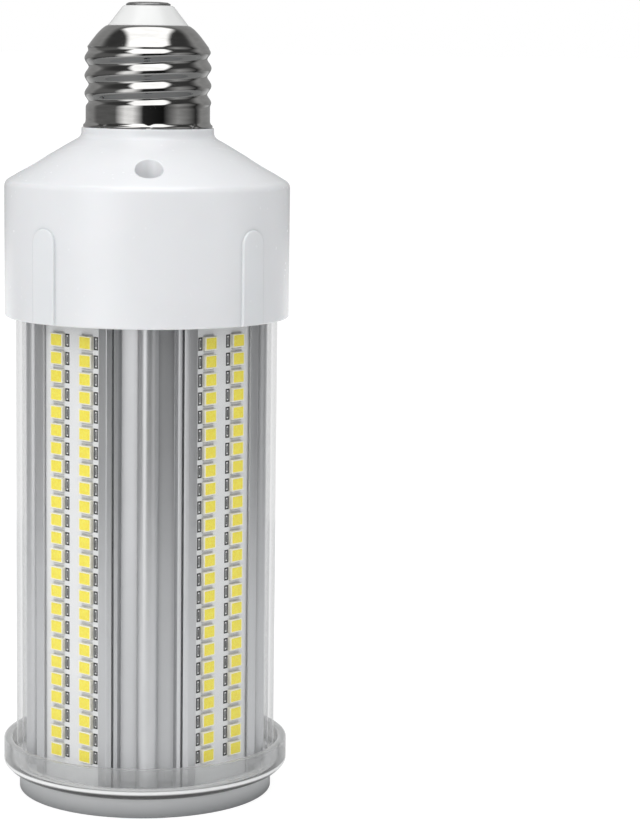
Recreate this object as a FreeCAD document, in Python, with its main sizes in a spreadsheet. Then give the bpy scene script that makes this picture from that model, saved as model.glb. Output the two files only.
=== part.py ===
import FreeCAD, Part
import math
import os
import re
import Sketcher

# Corn lamp: four aluminium-backed strips of light emitting diodes stand round an extruded heat
# sink inside a clear tube. A white housing with the driver closes one end, a clear ring and a
# grey cap close the other. The lamp stands on the cap with its screw base up; the axis is Z,
# the origin is the middle of the cap's underside. Millimetres.

V = FreeCAD.Vector

doc = FreeCAD.newDocument("corn_lamp")
sheet = doc.addObject("Spreadsheet::Sheet", "Sizes")

# A number is a length of its own; a text is worked out from the sizes above it.
SIZES = {
    # strips: their width sets the heat sink's, and so the tube's, ring's and housing's
    "board_width": 16.8,
    "board_thickness": 1.0,
    "slot_clearance": 0.15,
    # extruded heat sink; distances from the axis are to flats unless named a radius
    "sink_length": 107.2,
    "seat_edge": 12.1,
    "seat_distance": "=board_width / 2 + seat_edge",
    "sink_wall": 1.8,
    "corner_step": 2.5,
    "corner_distance": "=seat_distance + corner_step",
    "panel_depth": 1.3,
    "panel_rise": 1.2,
    "panel_half": 5.4,
    "panel_slope": 0.7,
    "groove_place": 7.1,
    "groove_half": 0.25,
    "groove_depth": 0.5,
    "groove_fall": 0.2,
    "ridge_fall": 0.35,
    "lip_thickness": 0.6,
    "lip_cover": 0.4,
    "corner_wall": 3.4,
    "inner_corner": "=corner_distance - corner_wall",
    "fin_length": 6.0,
    "fin_thickness": 1.2,
    "fin_spacing": 5.6,
    # screw bosses, the same circle for both ends
    "boss_step": 0.2,
    "boss_circle": "=corner_distance + boss_step",
    "boss_radius": 2.15,
    "pilot_radius": 1.25,
    # clear cover tube
    "tube_room": 0.85,
    "tube_wall": 1.2,
    "tube_radius": "=boss_circle + boss_radius + tube_room + tube_wall",
    # clear ring round the lower end of the tube
    "ring_room": 1.0,
    "ring_wall": 1.7,
    "ring_radius": "=tube_radius + ring_room + ring_wall",
    "ring_height": 6.2,
    "ring_floor": 1.2,
    "ring_edge": 1.0,
    "ring_clearance": 0.3,
    # end cap: the foot of the standing lamp
    "cap_inset": 0.6,
    "cap_radius": "=tube_radius - cap_inset",
    "cap_height": 4.8,
    # diodes and the strips' leads
    "board_end": 1.0,
    "board_length": "=sink_length - board_end",
    "led_width": 3.5,
    "led_height": 2.8,
    "led_thickness": 0.9,
    "led_first": 6.2,
    "led_last": 13.842,
    "led_count": 24,
    "led_pitch": "=(board_length - led_first - led_last) / (led_count - 1)",
    "column_spacing": 8.3,
    "lead_radius": 0.5,
    "lead_spacing": 2.6,
    "lead_overlap": 3.0,
    # screw shell, medium Edison size
    "crest_radius": 13.15,
    "thread_relief": 1.4,
    "shell_bore": "=crest_radius - thread_relief",
    "thread_length": 11.9,
    "shoulder_rise": 0.9,
    "skirt_relief": 0.2,
    "shell_skirt_radius": "=crest_radius - skirt_relief",
    "shell_skirt_height": 4.4,
    "rim_flare": 0.35,
    "rim_radius": "=crest_radius + rim_flare",
    "rim_height": 1.0,
    "dome_height": 3.9,
    "dome_mid_drop": 1.4,
    "dome_mid_step": 2.45,
    "dome_mid_radius": "=crest_radius - dome_mid_step",
    "mouth_step": 4.7,
    "shell_mouth": "=crest_radius - mouth_step",
    "shell_sheet": 0.4,
    # insulator and centre contact
    "insulator_fit": 0.1,
    "insulator_depth": 2.4,
    "insulator_height": 3.9,
    "insulator_taper": 3.25,
    "insulator_top": "=shell_mouth - insulator_taper",
    "contact_edge": 0.55,
    "contact_radius": "=insulator_top - contact_edge",
    "contact_height": 0.8,
    # driver housing
    "skirt_room": 0.5,
    "skirt_wall": 1.8,
    "skirt_radius": "=tube_radius + skirt_room + skirt_wall",
    "skirt_height": 27.9,
    "skirt_overlap": 11.0,
    "chamber_room": 12.2,
    "chamber_radius": "=skirt_radius - chamber_room",
    "cone_height": 9.5,
    "neck_edge": 0.25,
    "neck_radius": "=rim_radius + neck_edge",
    "neck_height": 1.8,
    "spigot_room": 0.15,
    "base_spigot": "=shell_bore - spigot_room",
    "base_spigot_height": 9.0,
    "spigot_wall": 2.2,
    "neck_bore": "=base_spigot - spigot_wall",
    "column_radius": 3.9,
    "web_width": 3.0,
    "head_bore": 2.8,
    "head_seat": 4.0,
    "screw_hole": 1.6,
    "pad_width": 6.2,
    "pad_height": 19.5,
    "pad_relief": 0.4,
    # screws, both ends
    "screw_radius": 1.15,
    "screw_length": 12.0,
    "screw_head_radius": 2.5,
    "screw_head_height": 1.9,
    "cap_head_recess": 2.4,
    # driver deck
    "plate_room": 0.1,
    "plate_flat": "=boss_circle - column_radius - plate_room",
    "plate_lead_room": 0.3,
    "plate_corner": "=seat_distance + board_thickness - plate_lead_room",
    "plate_thickness": 1.5,
    "post_place": 11.0,
    "post_width": 3.0,
    "post_height": 2.5,
    "driver_room": 1.4,
    "driver_half": "=plate_flat - driver_room",
    "driver_thickness": 1.6,
    "wire_radius": 0.6,
    "wire_bend": 2.5,
    "neutral_gap": 0.6,
    "neutral_x": "=neck_bore - neutral_gap - wire_radius",
    "solder_gap": 0.05,
    # parts on the driver's board, by their middle and size
    "deck_height": "=skirt_height - skirt_overlap - plate_thickness - post_height - driver_thickness",
    "can_x": -8.0,
    "can_y": 8.0,
    "can_radius": 5.0,
    "can_rise": 2.7,
    "can_height": "=deck_height + can_rise",
    "film_x": 9.0,
    "film_y": 9.0,
    "film_width": 10.0,
    "film_depth": 5.0,
    "film_room": 2.8,
    "film_height": "=deck_height - film_room",
    "core_x": 8.8,
    "core_y": -8.6,
    "core_width": 12.6,
    "core_depth": 5.5,
    "core_room": 1.3,
    "core_height": "=deck_height - core_room",
    "core_yoke": 2.0,
    "core_leg": 3.6,
    "core_window": 2.5,
    "winding_depth": 9.4,
    "winding_fit": 0.1,
    "bridge_x": -10.0,
    "bridge_y": -3.0,
    "bridge_width": 4.7,
    "bridge_depth": 3.8,
    "bridge_height": 2.4,
    "chip_x": -9.0,
    "chip_y": -11.0,
    "chip_width": 4.9,
    "chip_depth": 3.9,
    "chip_height": 1.5,
    "fuse_radius": 1.6,
    "fuse_height": 6.5,
    # levels up the axis that the leads' route starts from
    "driver_top": "=cap_height + sink_length + plate_thickness + post_height + driver_thickness",
    "neck_top": "=cap_height + sink_length - skirt_overlap + skirt_height + cone_height + neck_height",
    "bend_foot": "=neck_top + base_spigot_height",
}

for row, (alias, value) in enumerate(SIZES.items(), start=1):
    sheet.set("A%d" % row, alias)
    sheet.set("B%d" % row, str(value))
    sheet.setAlias("B%d" % row, alias)
doc.recompute()

# Levels up the axis, as expressions of the sheet's cells
CAP_TOP = "cap_height"
SEAT = "(cap_height + ring_floor)"
RING_TOP = "(cap_height + ring_height)"
SINK_TOP = "(cap_height + sink_length)"
SKIRT_FOOT = "(%s - skirt_overlap)" % SINK_TOP
SHOULDER = "(%s + skirt_height)" % SKIRT_FOOT
NECK_FOOT = "(%s + cone_height)" % SHOULDER
NECK_TOP = "(%s + neck_height)" % NECK_FOOT
PLATE_TOP = "(%s + plate_thickness)" % SINK_TOP
DRIVER_FOOT = "(%s + post_height)" % PLATE_TOP
DRIVER_TOP = "(%s + driver_thickness)" % DRIVER_FOOT
SCREW_SEAT = "(%s + head_seat)" % SINK_TOP
SHELL_SHOULDER = "(%s + shell_skirt_height + thread_length + shoulder_rise)" % NECK_TOP
SHELL_TOP = "(%s + dome_height)" % SHELL_SHOULDER
INSULATOR_TOP = "(%s + insulator_height)" % SHELL_TOP
BOARD_FACE = "(seat_distance + board_thickness)"


def size(alias):
    """Value of one cell of the sheet."""
    return float(sheet.get(alias))


def cell(text):
    """The expression with every alias pointed at the sheet."""
    return re.sub(r"[a-z]+(?:_[a-z]+)*", lambda m: "Sizes." + m[0] if m[0] in SIZES else m[0], str(text))


def neg(text):
    return "-(%s)" % text


def new_body(label, turn=0.0):
    """A body with its label; turn sets it round the axis in degrees."""
    body = doc.addObject("PartDesign::Body", label)
    body.Label = label
    body.Placement = FreeCAD.Placement(V(0, 0, 0), FreeCAD.Rotation(V(0, 0, 1), turn))
    return body


def new_sketch(body, name, plane, offset=None):
    """A sketch on one of the body's own planes, moved along the plane's normal by an expression."""
    role = {"XY": "XY_Plane", "XZ": "XZ_Plane", "YZ": "YZ_Plane"}[plane]
    sketch = body.newObject("Sketcher::SketchObject", body.Label + "_" + name)
    support = [o for o in body.Origin.OriginFeatures if o.Role == role][0]
    sketch.AttachmentSupport = [(support, "")]
    sketch.MapMode = "FlatFace"
    if offset is not None:
        sketch.setExpression("AttachmentOffset.Base.z", cell(offset))
    return sketch


def place(sketch, geometry, point, x, y):
    """Dimension one point from the sketch's origin in both directions."""
    drawn = sketch.getPoint(geometry, point)
    for kind, value, text in (("DistanceX", drawn.x, x), ("DistanceY", drawn.y, y)):
        index = sketch.addConstraint(Sketcher.Constraint(kind, -1, 1, geometry, point, value))
        sketch.setExpression("Constraints[%d]" % index, cell(text))


def draw_polygon(sketch, points):
    """A closed outline; each corner is a pair of expressions."""
    count = len(points)
    corners = [V(10 + 5 * math.cos(2 * math.pi * i / count), 5 * math.sin(2 * math.pi * i / count), 0)
               for i in range(count)]
    lines = [sketch.addGeometry(Part.LineSegment(corners[i], corners[(i + 1) % count]))
             for i in range(count)]
    for i in range(count):
        sketch.addConstraint(Sketcher.Constraint("Coincident", lines[i], 2, lines[(i + 1) % count], 1))
    for line, (x, y) in zip(lines, points):
        place(sketch, line, 1, x, y)


def ring_of(x, radius, sides, y="0"):
    """Corners of a regular outline round a point, for small or hidden rounds."""
    step = 2 * math.pi / sides
    return [("%s + (%s) * %.6f" % (x, radius, math.cos(step * (i + 0.5))),
             "%s + (%s) * %.6f" % (y, radius, math.sin(step * (i + 0.5)))) for i in range(sides)]


def draw_box(sketch, x_low, x_high, y_low, y_high):
    draw_polygon(sketch, [(x_low, y_low), (x_high, y_low), (x_high, y_high), (x_low, y_high)])


def draw_circle(sketch, x, y, radius):
    circle = sketch.addGeometry(Part.Circle(V(10, 0, 0), V(0, 0, 1), 1.0))
    place(sketch, circle, 3, x, y)
    index = sketch.addConstraint(Sketcher.Constraint("Radius", circle, 1.0))
    sketch.setExpression("Constraints[%d]" % index, cell(radius))


def add_pad(body, sketch, length):
    pad = body.newObject("PartDesign::Pad", sketch.Name + "_pad")
    pad.Profile = sketch
    pad.setExpression("Length", cell(length))
    return pad


def add_pocket(body, sketch, length, upward=False):
    """A cut from the sketch's plane, downward unless upward is set; it must take material away."""
    doc.recompute()
    before = body.Shape.Volume
    pocket = body.newObject("PartDesign::Pocket", sketch.Name + "_pocket")
    pocket.Profile = sketch
    pocket.Reversed = upward
    pocket.setExpression("Length", cell(length))
    doc.recompute()
    if pocket.Shape.Volume >= before:
        raise RuntimeError(pocket.Name + " cuts nothing")
    return pocket


def add_revolution(body, sketch):
    revolution = body.newObject("PartDesign::Revolution", sketch.Name + "_revolution")
    revolution.Profile = sketch
    revolution.ReferenceAxis = (sketch, ["V_Axis"])
    revolution.Angle = 360.0
    return revolution


def add_polar(body, features, count):
    """Copies of the features round the axis."""
    pattern = body.newObject("PartDesign::PolarPattern", features[0].Name + "_pattern")
    pattern.Originals = features
    axis = [o for o in body.Origin.OriginFeatures if o.Role == "Z_Axis"][0]
    pattern.Axis = (axis, [""])
    pattern.Angle = 360.0
    pattern.Occurrences = count
    body.Tip = pattern
    return pattern


def turned(label, outline, turn=0.0):
    """A body that is one outline turned round the axis."""
    body = new_body(label, turn)
    sketch = new_sketch(body, "profile", "XZ")
    draw_polygon(sketch, outline)
    add_revolution(body, sketch)
    return body


def block(label, x_low, x_high, y_low, y_high, foot, height, turn=0.0):
    """A body that is one upright block."""
    body = new_body(label, turn)
    sketch = new_sketch(body, "outline", "XY", foot)
    draw_box(sketch, x_low, x_high, y_low, y_high)
    add_pad(body, sketch, height)
    return body


# End cap: a thick disc with four recesses for the screw heads in its foot
end_cap = turned("end_cap", [
    ("0", "0"),
    ("cap_radius", "0"),
    ("cap_radius", CAP_TOP),
    ("0", CAP_TOP),
])
recess = new_sketch(end_cap, "head_recess", "XY")
draw_polygon(recess, ring_of("boss_circle", "head_bore", 12))
recess_cut = add_pocket(end_cap, recess, "cap_head_recess", upward=True)
hole = new_sketch(end_cap, "screw_hole", "XY")
draw_polygon(hole, ring_of("boss_circle", "screw_hole", 8))
hole_cut = add_pocket(end_cap, hole, CAP_TOP + " + 1", upward=True)
add_polar(end_cap, [recess_cut, hole_cut], 4)

# Clear ring: an upright wall, and a narrow floor held between the tube's end and the cap
RING_BORE = "(boss_circle + boss_radius + ring_clearance)"
end_ring = turned("end_ring", [
    ("0", CAP_TOP),
    ("ring_radius - ring_edge", CAP_TOP),
    ("ring_radius", CAP_TOP + " + ring_edge"),
    ("ring_radius", RING_TOP),
    ("ring_radius - ring_wall", RING_TOP),
    ("ring_radius - ring_wall", SEAT),
    ("0", SEAT),
])
ring_bore = new_sketch(end_ring, "bore", "XY", CAP_TOP)
draw_polygon(ring_bore, ring_of("0", RING_BORE, 24))
add_pocket(end_ring, ring_bore, "ring_floor + 1", upward=True)

# Clear tube, from the ring's floor to the stops inside the housing
turned("cover_tube", [
    ("tube_radius - tube_wall", SEAT),
    ("tube_radius", SEAT),
    ("tube_radius", SINK_TOP),
    ("tube_radius - tube_wall", SINK_TOP),
])

# Heat sink: one corner of the extruded section, repeated four times. A point is given by its
# distance from the axis across the board's seat and its place along the seat.
HALF_ROOT = "0.70710678"


def corner_point(across, along, side=1):
    """A point named in the board's directions, written in the corner's own."""
    forward = "((%s) + (%s)) * %s" % (across, along, HALF_ROOT)
    sideways = "((%s) - (%s)) * %s" % (across, along, HALF_ROOT)
    return (forward, sideways if side > 0 else neg(sideways))


SLOT_SIDE = "(board_width / 2 + slot_clearance)"
LIP_UNDER = "(%s + slot_clearance)" % BOARD_FACE
LIP_OVER = "(%s + lip_thickness)" % LIP_UNDER
LIP_TIP = "(board_width / 2 - lip_cover)"


def corner_side(side):
    """The outline from the middle of the board's seat to the panel that rises to the boss."""
    ridge = "panel_half + panel_slope"
    face_end = "(%s) / %s - corner_distance" % (LIP_OVER, HALF_ROOT)
    plain = [
        ("corner_distance", face_end),
        ("corner_distance - groove_fall", "groove_place + groove_half"),
        ("corner_distance - groove_fall - groove_depth", "groove_place"),
        ("corner_distance - groove_fall", "groove_place - groove_half"),
        ("corner_distance - ridge_fall", ridge),
        ("corner_distance - panel_depth", "panel_half"),
        ("corner_distance - panel_depth + panel_rise", "boss_radius / 2"),
    ]
    return [
        corner_point("seat_distance", "0", side),
        corner_point("seat_distance", SLOT_SIDE, side),
        corner_point(LIP_UNDER, SLOT_SIDE, side),
        corner_point(LIP_UNDER, LIP_TIP, side),
        corner_point(LIP_OVER, LIP_TIP, side),
    ] + [(x, y if side > 0 else neg(y)) for x, y in plain]


INNER_FLAT = "(seat_distance - sink_wall)"
inner_turn = "%s / %s - inner_corner" % (INNER_FLAT, HALF_ROOT)
outline = corner_side(1) + corner_side(-1)[::-1]
outline += [
    corner_point(INNER_FLAT, "0", -1),
    ("inner_corner", neg(inner_turn)),
    ("inner_corner", inner_turn),
    corner_point(INNER_FLAT, "0", 1),
]
heat_sink = new_body("heat_sink")
corner = new_sketch(heat_sink, "corner", "XY", CAP_TOP)
draw_polygon(corner, outline)
corner_pad = add_pad(heat_sink, corner, "sink_length")
boss = new_sketch(heat_sink, "boss", "XY", CAP_TOP)
draw_circle(boss, "boss_circle", "0", "boss_radius")
boss_pad = add_pad(heat_sink, boss, "sink_length")
fins = new_sketch(heat_sink, "fins", "XY", CAP_TOP)
for place_along in (-1, 1):
    middle = "%d * fin_spacing / 2" % place_along
    root = "%s + sink_wall / 2" % INNER_FLAT
    draw_polygon(fins, [
        corner_point("%s - fin_length" % INNER_FLAT, middle + " - fin_thickness / 2"),
        corner_point(root, middle + " - fin_thickness / 2"),
        corner_point(root, middle + " + fin_thickness / 2"),
        corner_point("%s - fin_length" % INNER_FLAT, middle + " + fin_thickness / 2"),
    ])
fin_pad = add_pad(heat_sink, fins, "sink_length")
pilot = new_sketch(heat_sink, "pilot", "XY", CAP_TOP)
draw_polygon(pilot, ring_of("boss_circle", "pilot_radius", 8))
pilot_cut = add_pocket(heat_sink, pilot, "sink_length", upward=True)
add_polar(heat_sink, [corner_pad, boss_pad, fin_pad, pilot_cut], 4)

# Screws: plain shank and head, with the thread left smooth


def screw_set(label, seat, upward):
    """Four screws on the boss circle; their heads rest at the seat and point up or down."""
    body = new_body(label)
    body.AllowCompound = True
    head = new_sketch(body, "head", "XY", seat)
    draw_polygon(head, ring_of("boss_circle", "screw_head_radius", 10))
    head_pad = add_pad(body, head, "screw_head_height")
    head_pad.Reversed = not upward
    shank = new_sketch(body, "shank", "XY", seat)
    draw_polygon(shank, ring_of("boss_circle", "screw_radius", 6))
    shank_pad = add_pad(body, shank, "screw_length")
    shank_pad.Reversed = upward
    add_polar(body, [head_pad, shank_pad], 4)
    return body


screw_set("housing_screws", SCREW_SEAT, True)
screw_set("end_screws", "cap_head_recess", False)

# Four strips slid into the slots, each with two columns of diodes and two leads at its top end
for number in range(4):
    turn = 45.0 + 90.0 * number
    block("led_board_%d" % (number + 1), "seat_distance", BOARD_FACE,
          "-board_width / 2", "board_width / 2", CAP_TOP, "board_length", turn)

    leds = new_body("leds_%d" % (number + 1), turn)
    leds.AllowCompound = True
    first = new_sketch(leds, "first", "XY", "%s + led_first - led_height / 2" % CAP_TOP)
    for side in (-1, 1):
        middle = "%d * column_spacing / 2" % side
        draw_box(first, BOARD_FACE, BOARD_FACE + " + led_thickness",
                 middle + " - led_width / 2", middle + " + led_width / 2")
    pair = add_pad(leds, first, "led_height")
    column = leds.newObject("PartDesign::LinearPattern", leds.Label + "_column")
    column.Originals = [pair]
    column.Direction = ([o for o in leds.Origin.OriginFeatures if o.Role == "Z_Axis"][0], [""])
    column.Mode = "Spacing"
    column.setExpression("Offset", cell("led_pitch"))
    column.Occurrences = int(size("led_count"))
    leds.Tip = column

led_leads = new_body("led_leads", 45.0)
led_leads.AllowCompound = True
wires = new_sketch(led_leads, "wires", "XY", "%s + board_length - lead_overlap" % CAP_TOP)
for side in (-1, 1):
    wire = ring_of(BOARD_FACE + " + lead_radius", "lead_radius", 8, "%d * lead_spacing / 2" % side)
    draw_polygon(wires, wire)
wire_pad = add_pad(led_leads, wires,
                   "%s - %s - board_length + lead_overlap" % (DRIVER_FOOT, CAP_TOP))
add_polar(led_leads, [wire_pad], 4)

# Driver housing: cone and skirt turned in one wall, with four screw columns inside
CONE_SLOPE = "(cone_height / (skirt_radius - neck_radius))"
WALL_DROP = "(skirt_wall * sqrt(1 + %s * %s))" % (CONE_SLOPE, CONE_SLOPE)


def under_cone(radius):
    """Height at which the housing's roof has its full wall over this radius."""
    return "(%s + (skirt_radius - %s) * %s - %s)" % (SHOULDER, radius, CONE_SLOPE, WALL_DROP)


SKIRT_BORE = "(skirt_radius - skirt_wall)"
housing = turned("driver_housing", [
    (SKIRT_BORE, SKIRT_FOOT),
    ("skirt_radius", SKIRT_FOOT),
    ("skirt_radius", SHOULDER),
    ("neck_radius", NECK_FOOT),
    ("neck_radius", NECK_TOP),
    ("0", NECK_TOP),
    ("0", under_cone(SKIRT_BORE)),
    (SKIRT_BORE, under_cone(SKIRT_BORE)),
])
spigot = new_sketch(housing, "spigot", "XY", NECK_TOP)
draw_polygon(spigot, ring_of("0", "base_spigot", 12))
add_pad(housing, spigot, "base_spigot_height")
chamber = new_sketch(housing, "chamber", "XY", under_cone(SKIRT_BORE))
draw_polygon(chamber, ring_of("0", "chamber_radius", 12))
add_pocket(housing, chamber, "%s - %s" % (under_cone("chamber_radius"), under_cone(SKIRT_BORE)),
           upward=True)
neck_way = new_sketch(housing, "neck_way", "XY", under_cone("chamber_radius"))
draw_polygon(neck_way, ring_of("0", "neck_bore", 12))
add_pocket(housing, neck_way, "%s + base_spigot_height + 1 - %s" % (NECK_TOP, under_cone("chamber_radius")),
           upward=True)
column = new_sketch(housing, "column", "XY", SINK_TOP)
draw_polygon(column, ring_of("boss_circle", "column_radius", 8))
column_pad = add_pad(housing, column, "skirt_height - skirt_overlap")
web = new_sketch(housing, "web", "XY", SINK_TOP)
draw_box(web, "boss_circle", "skirt_radius - skirt_wall / 2", "-web_width / 2", "web_width / 2")
web_pad = add_pad(housing, web, "skirt_height - skirt_overlap")
head_bore = new_sketch(housing, "head_bore", "XY", SCREW_SEAT)
draw_circle(head_bore, "boss_circle", "0", "head_bore")
head_cut = add_pocket(housing, head_bore, "%s - %s" % (NECK_FOOT, SINK_TOP), upward=True)
screw_bore = new_sketch(housing, "screw_bore", "XY", SINK_TOP)
draw_polygon(screw_bore, ring_of("boss_circle", "screw_hole", 8))
bore_cut = add_pocket(housing, screw_bore, "head_seat + 1", upward=True)
columns = add_polar(housing, [column_pad, web_pad, head_cut, bore_cut], 4)

# Four raised pads on the skirt, over the strips, flat-faced with a rounded top
pad_face = new_sketch(housing, "pad_face", "YZ")
pad_face.AttachmentOffset = FreeCAD.Placement(V(0, 0, 0), FreeCAD.Rotation(V(0, 1, 0), 45))
for axis in ("x", "z"):
    pad_face.setExpression("AttachmentOffset.Base." + axis,
                           cell("(skirt_radius - skirt_wall / 2) * " + HALF_ROOT))
PAD_SPRING = "(%s + pad_height - pad_width / 2)" % SKIRT_FOOT
arch = [("pad_width / 2 * %.6f" % math.cos(math.pi * i / 6),
         "%s + pad_width / 2 * %.6f" % (PAD_SPRING, math.sin(math.pi * i / 6))) for i in range(7)]
draw_polygon(pad_face, [("-pad_width / 2", SKIRT_FOOT), ("pad_width / 2", SKIRT_FOOT)] + arch)
pad_block = add_pad(housing, pad_face, "skirt_wall / 2 + pad_relief")
quarter = housing.newObject("PartDesign::PolarPattern", "driver_housing_pads")
quarter.Originals = [pad_block]
quarter.Axis = ([o for o in housing.Origin.OriginFeatures if o.Role == "Z_Axis"][0], [""])
quarter.Angle = 360.0
quarter.Occurrences = 4
housing.Tip = quarter

# Screw shell: rim, skirt, the screw length turned to its crests, a shoulder and a sloping roof
THREAD_TOP = "(%s + shell_skirt_height + thread_length)" % NECK_TOP
turned("screw_shell", [
    ("shell_bore", NECK_TOP),
    ("rim_radius", NECK_TOP),
    ("rim_radius", NECK_TOP + " + rim_height"),
    ("shell_skirt_radius", NECK_TOP + " + rim_height"),
    ("shell_skirt_radius", NECK_TOP + " + shell_skirt_height"),
    ("crest_radius", NECK_TOP + " + shell_skirt_height"),
    ("crest_radius", THREAD_TOP),
    ("dome_mid_radius", SHELL_TOP + " - dome_mid_drop"),
    ("shell_mouth", SHELL_TOP),
    ("shell_mouth", SHELL_SHOULDER + " - shell_sheet"),
    ("shell_bore", SHELL_SHOULDER + " - shell_sheet"),
])

# Insulator: a cone that stands out of the shell's mouth, bored for the live lead
INSULATOR_FOOT = "(%s - insulator_depth)" % SHELL_TOP
insulator = turned("base_insulator", [
    ("0", INSULATOR_FOOT),
    ("shell_mouth - insulator_fit", INSULATOR_FOOT),
    ("shell_mouth - insulator_fit", SHELL_TOP),
    ("insulator_top", INSULATOR_TOP),
    ("0", INSULATOR_TOP),
])
wire_bore = new_sketch(insulator, "wire_bore", "XY", INSULATOR_FOOT)
draw_polygon(wire_bore, ring_of("0", "wire_radius + insulator_fit", 8))
add_pocket(insulator, wire_bore, "insulator_depth + insulator_height + 1", upward=True)

# Centre contact: a disc on the insulator's end
turned("centre_contact", [
    ("0", INSULATOR_TOP),
    ("contact_radius", INSULATOR_TOP),
    ("contact_radius", INSULATOR_TOP + " + contact_height"),
    ("0", INSULATOR_TOP + " + contact_height"),
])

# Insulating plate on the heat sink, with four posts that carry the driver's board
plate = new_body("divider_plate")
plate_outline = new_sketch(plate, "outline", "XY", SINK_TOP)
cut = "plate_corner / %s - plate_flat" % HALF_ROOT
draw_polygon(plate_outline, [
    ("plate_flat", neg(cut)), ("plate_flat", cut), (cut, "plate_flat"), (neg(cut), "plate_flat"),
    (neg("plate_flat"), cut), (neg("plate_flat"), neg(cut)), (neg(cut), neg("plate_flat")),
    (cut, neg("plate_flat")),
])
add_pad(plate, plate_outline, "plate_thickness")
post = new_sketch(plate, "post", "XY", PLATE_TOP)
draw_box(post, "post_place", "post_place + post_width", "post_place", "post_place + post_width")
post_pad = add_pad(plate, post, "post_height")
add_polar(plate, [post_pad], 4)

block("driver_board", "-driver_half", "driver_half", "-driver_half", "driver_half",
      DRIVER_FOOT, "driver_thickness")

# Parts on the driver's board
for label, key in (("film_capacitor", "film"), ("bridge_rectifier", "bridge"), ("driver_chip", "chip")):
    block(label, "%s_x - %s_width / 2" % (key, key), "%s_x + %s_width / 2" % (key, key),
          "%s_y - %s_depth / 2" % (key, key), "%s_y + %s_depth / 2" % (key, key),
          DRIVER_TOP, key + "_height")

for label, x, y, radius, height in (
        ("smoothing_capacitor", "can_x", "can_y", "can_radius", "can_height"),
        ("fuse_resistor", "0", "0", "fuse_radius", "fuse_height")):
    can = new_body(label)
    can_outline = new_sketch(can, "outline", "XY", DRIVER_TOP)
    draw_polygon(can_outline, ring_of(x, radius, 12, y))
    add_pad(can, can_outline, height)

# Transformer: a core with two windows round its middle leg, and the winding on that leg
core = new_body("transformer_core")
core_face = new_sketch(core, "face", "XZ", "-core_y - core_depth / 2")
draw_box(core_face, "core_x - core_width / 2", "core_x + core_width / 2",
         DRIVER_TOP, DRIVER_TOP + " + core_height")
WINDOW_FOOT = DRIVER_TOP + " + core_yoke"
WINDOW_TOP = DRIVER_TOP + " + core_height - core_yoke"
draw_box(core_face, "core_x + core_leg / 2", "core_x + core_leg / 2 + core_window",
         WINDOW_FOOT, WINDOW_TOP)
draw_box(core_face, "core_x - core_leg / 2 - core_window", "core_x - core_leg / 2",
         WINDOW_FOOT, WINDOW_TOP)
add_pad(core, core_face, "core_depth")

winding = new_body("transformer_winding")
turns = new_sketch(winding, "turns", "XY", WINDOW_FOOT + " + winding_fit")
WINDING_HALF = "(core_leg / 2 + core_window - winding_fit)"
draw_box(turns, "core_x - " + WINDING_HALF, "core_x + " + WINDING_HALF,
         "core_y - winding_depth / 2", "core_y + winding_depth / 2")
draw_box(turns, "core_x - core_leg / 2 - winding_fit", "core_x + core_leg / 2 + winding_fit",
         "core_y - core_depth / 2 - winding_fit", "core_y + core_depth / 2 + winding_fit")
add_pad(winding, turns, "core_height - 2 * core_yoke - 2 * winding_fit")

# Live lead, from the fuse resistor's end straight up to the contact
live = new_body("live_lead")
live_wire = new_sketch(live, "wire", "XY", DRIVER_TOP + " + fuse_height")
draw_polygon(live_wire, ring_of("0", "wire_radius", 8))
add_pad(live, live_wire, "%s - %s - fuse_height" % (INSULATOR_TOP, DRIVER_TOP))

# Neutral lead, up beside the neck's bore and out over the spigot's end to the shell
neutral = new_body("neutral_lead")
neutral_wire = new_sketch(neutral, "wire", "XY", DRIVER_TOP)
draw_polygon(neutral_wire, ring_of("neutral_x", "wire_radius", 8))
route = new_sketch(neutral, "route", "XZ")
turn_radius = size("wire_bend")
rise_foot = V(size("neutral_x"), size("driver_top"), 0)
bend_foot = V(size("neutral_x"), size("bend_foot"), 0)
bend_middle = bend_foot + V(turn_radius * (1 - math.sqrt(0.5)), turn_radius * math.sqrt(0.5), 0)
bend_end = bend_foot + V(turn_radius, turn_radius, 0)
wire_end = V(size("shell_bore") - size("solder_gap"), bend_end.y, 0)
rise = route.addGeometry(Part.LineSegment(rise_foot, bend_foot))
bend = route.addGeometry(Part.Arc(bend_foot, bend_middle, bend_end))
reach = route.addGeometry(Part.LineSegment(bend_end, wire_end))
place(route, rise, 1, "neutral_x", "driver_top")
place(route, rise, 2, "neutral_x", "bend_foot")
middle = route.addConstraint(Sketcher.Constraint("DistanceX", -1, 1, bend, 3, bend_end.x))
route.setExpression("Constraints[%d]" % middle, cell("neutral_x + wire_bend"))
place(route, reach, 1, "neutral_x + wire_bend", "bend_foot + wire_bend")
place(route, reach, 2, "shell_bore - solder_gap", "bend_foot + wire_bend")
route.addConstraint(Sketcher.Constraint("Coincident", bend, 2, rise, 2))
route.addConstraint(Sketcher.Constraint("Coincident", bend, 1, reach, 1))
neutral_pipe = neutral.newObject("PartDesign::AdditivePipe", "neutral_lead_pipe")
neutral_pipe.Profile = neutral_wire
neutral_pipe.Spine = (route, ["Edge1", "Edge2", "Edge3"])

doc.recompute()


def check_document():
    """Stop if any object failed or any sub-part has no valid solid."""
    for item in doc.Objects:
        if "Invalid" in item.State or "Error" in item.State:
            raise RuntimeError("%s is %s" % (item.Label, item.State))
    for body in sub_parts:
        if body.Shape.isNull() or not body.Shape.isValid() or not body.Shape.Solids:
            raise RuntimeError(body.Label + " has no valid solid")


sub_parts = [o for o in doc.Objects if o.TypeId == "PartDesign::Body"]
check_document()
os.makedirs("parts", exist_ok=True)
for body in sub_parts:
    body.Shape.exportStep("parts/%s.step" % body.Label)
    print(body.Label, len(body.Shape.Solids), round(body.Shape.Volume, 2))
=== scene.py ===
import bmesh
import bpy
import math
from mathutils import Matrix, Vector


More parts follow.
